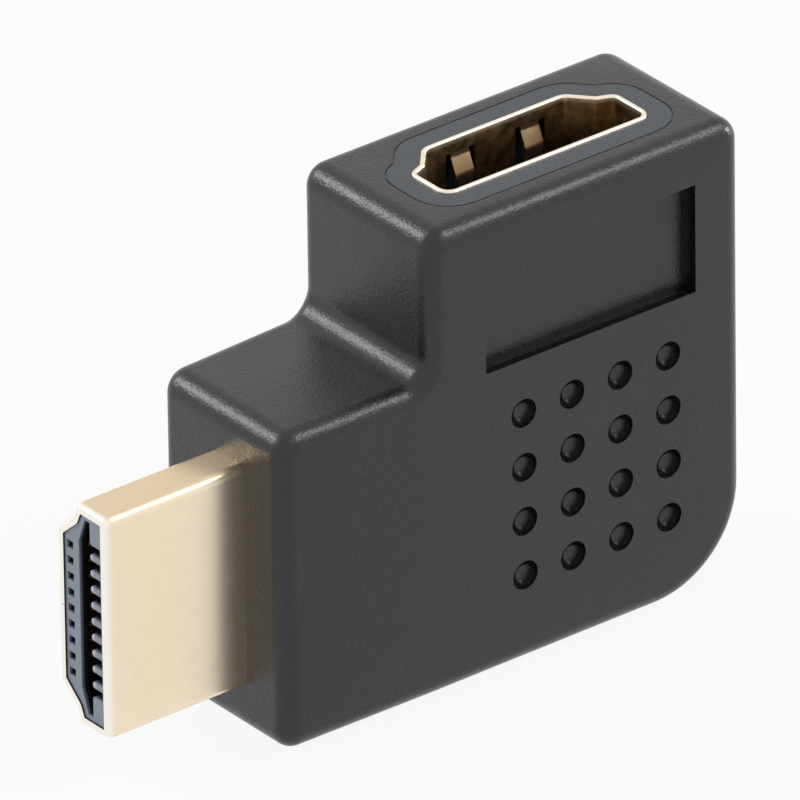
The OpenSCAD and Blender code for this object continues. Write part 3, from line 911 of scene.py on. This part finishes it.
class ADAPTER_OT_socket(Operator):
    """Build the socket's gilt shell, with a rounded lip, cut walls and bent spring fingers"""

    bl_idname = "adapter.socket"
    bl_label = "Build Socket Shell"

    def execute(self, context):
        s = context.scene.adapter_socket
        plug = context.scene.adapter_plug
        finish = context.scene.adapter_finish
        rolling = (1.0, 1.0, 0.15)
        # Painted shade darkens the plating inside the socket, a painted highlight lightens its
        # lip, and the springs are darkened less
        gilt = shared(
            "Gilt plating", plated_metal, finish.socket_shade_gold, 0.35, rolling, 0.6,
            (finish.lip_highlight_gold, "Z", BODY_HIGH.z - 0.25 * MM, BODY_HIGH.z - 0.05 * MM),
        )
        tan = shared("Gilt springs", plated_metal, finish.spring_shade_gold, 0.35, rolling, 0.1)

        place = socket_frame()
        lip, floor = SOCKET_HIGH.z - BODY_HIGH.z, SOCKET_LOW.z - BODY_HIGH.z
        half = s.sheet / 2
        turn = [math.pi * i / s.lip_steps for i in range(s.lip_steps + 1)]
        round_lip = [
            (lip - half * (1 - math.sin(a)), s.gap + half + half * math.cos(a)) for a in turn
        ]
        rings = []
        for height, grow in [(floor, s.gap + s.sheet), *round_lip, (floor, s.gap)]:
            outline = connector_outline(plug.width, plug.thickness, grow, plug.corner_steps)
            rings.append([(p.x, p.y, height) for p in outline])
        vertices, faces = sheet_wall(rings, True)
        shell = add_piece("fine_socket_shell", vertices, faces, gilt)
        faced_outward(shell)

        wall = plug.thickness / 2 + s.gap + half
        reach = s.finger_width / 2 + s.finger_slot
        openings = [
            plate(
                rectangle(
                    (middle - reach, side * wall - s.sheet),
                    (middle + reach, side * wall + s.sheet),
                ),
                [], -s.finger_top - s.finger_window, -s.finger_top,
            )
            for side in (-1, 1) for middle in (-s.finger_place, s.finger_place)
        ]
        vertices, faces = joined(*openings)
        cutter = new_object("finger_cutter", new_mesh("finger_cutter", vertices, [], faces))
        faced_outward(cutter)
        cut = shell.modifiers.new("Finger openings", "BOOLEAN")
        cut.object = cutter
        cut.solver = "EXACT"
        result = evaluated_mesh(shell)
        shell.modifiers.remove(cut)
        shell.data = result
        bpy.data.objects.remove(cutter)
        result.transform(place)
        smooth_by_angle(shell, 40)
        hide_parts("socket_shell")

        # Each finger starts in its wall, bends into the opening and comes back at its end
        bent_path = (
            (-s.finger_top + 0.1 * MM, wall), (-s.finger_top - 0.3 * MM, wall),
            (-s.finger_top - 1.3 * MM, wall - s.finger_bend),
            (-s.finger_top - 5.3 * MM, wall - 0.05 * MM),
        )
        for side, name in ((1, "back_fingers"), (-1, "front_fingers")):
            path = [Vector((side * through, outward, 0)) for outward, through in bent_path]
            fingers = grow_strips(name, path, place, {
                "Width": s.finger_width, "Thickness": s.sheet - TOUCH,
                "Bend": 0.5 * MM, "Edge": 0.04 * MM,
                "Count": 2, "First": (0.0, 0.0, -s.finger_place),
                "Step": (0.0, 0.0, 2 * s.finger_place), "Material": tan,
            })
        black = shared("Black plastic", smooth_plastic, finish.tongue_colour, 0.4)
        dress("socket_insulator", black)
        return {"FINISHED"}


class ADAPTER_OT_contacts(Operator):
    """Build both rows of leaf contacts of the plug and of the socket"""

    bl_idname = "adapter.contacts"
    bl_label = "Build Contacts"

    def execute(self, context):
        sizes = context.scene.adapter_contacts
        gold = context.scene.adapter_finish.contact_gold
        metal = shared("Contact gold", plated_metal, gold, 0.25, (1.0, 1.0, 1.0), 0.05)
        plug_paths = (plug_path(0.62), plug_path(0.38))
        socket_paths = (socket_path(0.5), socket_path(0.26))
        contact_rows("plug", plug_frame(), plug_paths, metal, sizes)
        contact_rows("socket", socket_frame(), socket_paths, metal, sizes)
        return {"FINISHED"}


# Studio

CAMERA_AZIMUTH = 38.0407
CAMERA_ELEVATION = 28.9735
CAMERA_ROLL = 0.7832
CAMERA_DISTANCE = 1.19658
CAMERA_TARGET = Vector((0.00255, -0.00075, 0.017))
CAMERA_OFFSET = (0.0014877, 0.0013595)
PIXELS_ACROSS = 800
FOCAL_PIXELS = 21749.4
KEY_FROM = (0.54, -0.48, 0.69)
SIDE_FROM = (0.95, -0.3, 0.17)
BACK_FROM = (-0.48, 0.69, 0.54)


def camera_axes():
    """The camera's right, up and backward directions."""
    a, e, roll = (math.radians(v) for v in (CAMERA_AZIMUTH, CAMERA_ELEVATION, CAMERA_ROLL))
    right = Vector((math.cos(a), -math.sin(a), 0))
    up = Vector((math.sin(a) * math.sin(e), math.cos(a) * math.sin(e), math.cos(e)))
    back = Vector((-math.sin(a) * math.cos(e), -math.cos(a) * math.cos(e), math.sin(e)))
    c, s = math.cos(roll), math.sin(roll)
    return right * c - up * s, right * s + up * c, back


def add_camera(scene):
    """The camera that sees the adapter from above its left front."""
    data = bpy.data.cameras.new("Camera")
    data.sensor_width = 36.0
    data.lens = data.sensor_width * FOCAL_PIXELS / PIXELS_ACROSS
    data.clip_start, data.clip_end = 0.01, 10.0
    right, up, back = camera_axes()
    place = CAMERA_TARGET + back * CAMERA_DISTANCE
    place -= right * CAMERA_OFFSET[0] + up * CAMERA_OFFSET[1]
    turn = Matrix((right, up, back)).transposed().to_4x4()
    camera = new_object("Camera", data)
    camera.matrix_world = Matrix.Translation(place) @ turn
    scene.camera = camera


def add_lamp(name, direction, watts, size, distance):
    """A square soft lamp that shines on the adapter."""
    data = bpy.data.lights.new(name, "AREA")
    data.energy = watts
    data.size = size
    lamp = new_object(name, data)
    toward = Vector(direction).normalized()
    lamp.location = CAMERA_TARGET + toward * distance
    lamp.rotation_euler = toward.to_track_quat("Z", "Y").to_euler()


def seen_directly(tree):
    """1 on camera, glossy and transmitted rays, and 0 on the rest."""
    path = tree.nodes.new("ShaderNodeLightPath")
    total = path.outputs["Is Camera Ray"]
    for ray in ("Is Glossy Ray", "Is Transmission Ray"):
        larger = tree.nodes.new("ShaderNodeMath")
        larger.operation = "MAXIMUM"
        tree.links.new(total, larger.inputs[0])
        tree.links.new(path.outputs[ray], larger.inputs[1])
        total = larger.outputs["Value"]
    return total


def white_world(ambient):
    """White where it is seen, and a plain soft light elsewhere."""
    world = bpy.data.worlds.new("White studio")
    world.use_nodes = True
    tree = world.node_tree
    background = tree.nodes["Background"]
    background.inputs["Color"].default_value = (1.0, 1.0, 1.0, 1.0)
    strength = map_range(tree, seen_directly(tree), new=(ambient, 1.0))
    tree.links.new(strength, background.inputs["Strength"])
    return world


def floor_material(kept_shading):
    """Pale matt floor, brought near to white where it is seen, with the shadow kept."""
    material = bpy.data.materials.new("Pale floor")
    material.use_nodes = True
    tree = material.node_tree
    tree.nodes.clear()
    output = tree.nodes.new("ShaderNodeOutputMaterial")
    matt = tree.nodes.new("ShaderNodeBsdfDiffuse")
    matt.inputs["Color"].default_value = (0.8, 0.8, 0.8, 1.0)
    white = tree.nodes.new("ShaderNodeEmission")
    white.inputs["Strength"].default_value = 1.0
    amount = tree.nodes.new("ShaderNodeMath")
    amount.operation = "MULTIPLY"
    amount.inputs[1].default_value = 1.0 - kept_shading
    tree.links.new(seen_directly(tree), amount.inputs[0])
    blend = tree.nodes.new("ShaderNodeMixShader")
    tree.links.new(amount.outputs["Value"], blend.inputs["Fac"])
    tree.links.new(matt.outputs["BSDF"], blend.inputs[1])
    tree.links.new(white.outputs["Emission"], blend.inputs[2])
    tree.links.new(blend.outputs["Shader"], output.inputs["Surface"])
    return material


class ADAPTER_OT_studio(Operator):
    """Add the floor, the white background, the lamps and the camera"""

    bl_idname = "adapter.studio"
    bl_label = "Set Up Studio"

    def execute(self, context):
        s = context.scene.adapter_studio
        scene = context.scene
        half = s.floor_size / 2
        # The floor lies just under the foot, so that the two faces stay apart
        corners = [(*p, -TOUCH) for p in rectangle((-half, -half), (half, half))]
        mesh = new_mesh("Floor", corners, [], [(0, 1, 2, 3)])
        mesh.materials.append(floor_material(s.floor_shade))
        floor = new_object("floor", mesh)
        scene.world = white_world(s.ambient)
        add_lamp("Key lamp", KEY_FROM, s.key_power, s.lamp_size, s.lamp_distance)
        add_lamp("Side lamp", SIDE_FROM, s.side_power, s.lamp_size / 2, s.lamp_distance)
        add_lamp("Back lamp", BACK_FROM, s.back_power, s.lamp_size, s.lamp_distance)
        add_camera(scene)
        scene.view_settings.view_transform = "Standard"
        return {"FINISHED"}


# Panel and registration

SETTINGS = {
    AdapterFinish: "adapter_finish",
    AdapterBody: "adapter_body",
    AdapterPlug: "adapter_plug",
    AdapterSocket: "adapter_socket",
    AdapterContacts: "adapter_contacts",
    AdapterStudio: "adapter_studio",
}
OPERATORS = (
    ADAPTER_OT_body, ADAPTER_OT_inner_mould, ADAPTER_OT_plug, ADAPTER_OT_plug_insulator,
    ADAPTER_OT_socket, ADAPTER_OT_contacts, ADAPTER_OT_studio,
)


class ADAPTER_PT_sidebar(Panel):
    """Buttons for every piece, and the settings they use"""

    bl_idname = "ADAPTER_PT_sidebar"
    bl_label = "Video Adapter"
    bl_space_type = "VIEW_3D"
    bl_region_type = "UI"
    bl_category = "Adapter"

    def draw(self, context):
        for operator in OPERATORS:
            self.layout.operator(operator.bl_idname)
        for group, name in SETTINGS.items():
            box = self.layout.box()
            for key in group.__annotations__:
                box.prop(getattr(context.scene, name), key)


CLASSES = (*SETTINGS, *OPERATORS, ADAPTER_PT_sidebar)


def register():
    for cls in CLASSES:
        bpy.utils.register_class(cls)
    for group, name in SETTINGS.items():
        setattr(bpy.types.Scene, name, PointerProperty(type=group))


def unregister():
    for name in SETTINGS.values():
        delattr(bpy.types.Scene, name)
    for cls in reversed(CLASSES):
        bpy.utils.unregister_class(cls)


def main():
    register()
    bpy.ops.adapter.body()
    bpy.ops.adapter.inner_mould()
    bpy.ops.adapter.plug()
    bpy.ops.adapter.plug_insulator()
    bpy.ops.adapter.socket()
    bpy.ops.adapter.contacts()
    bpy.ops.adapter.studio()


if __name__ == "__main__":
    main()
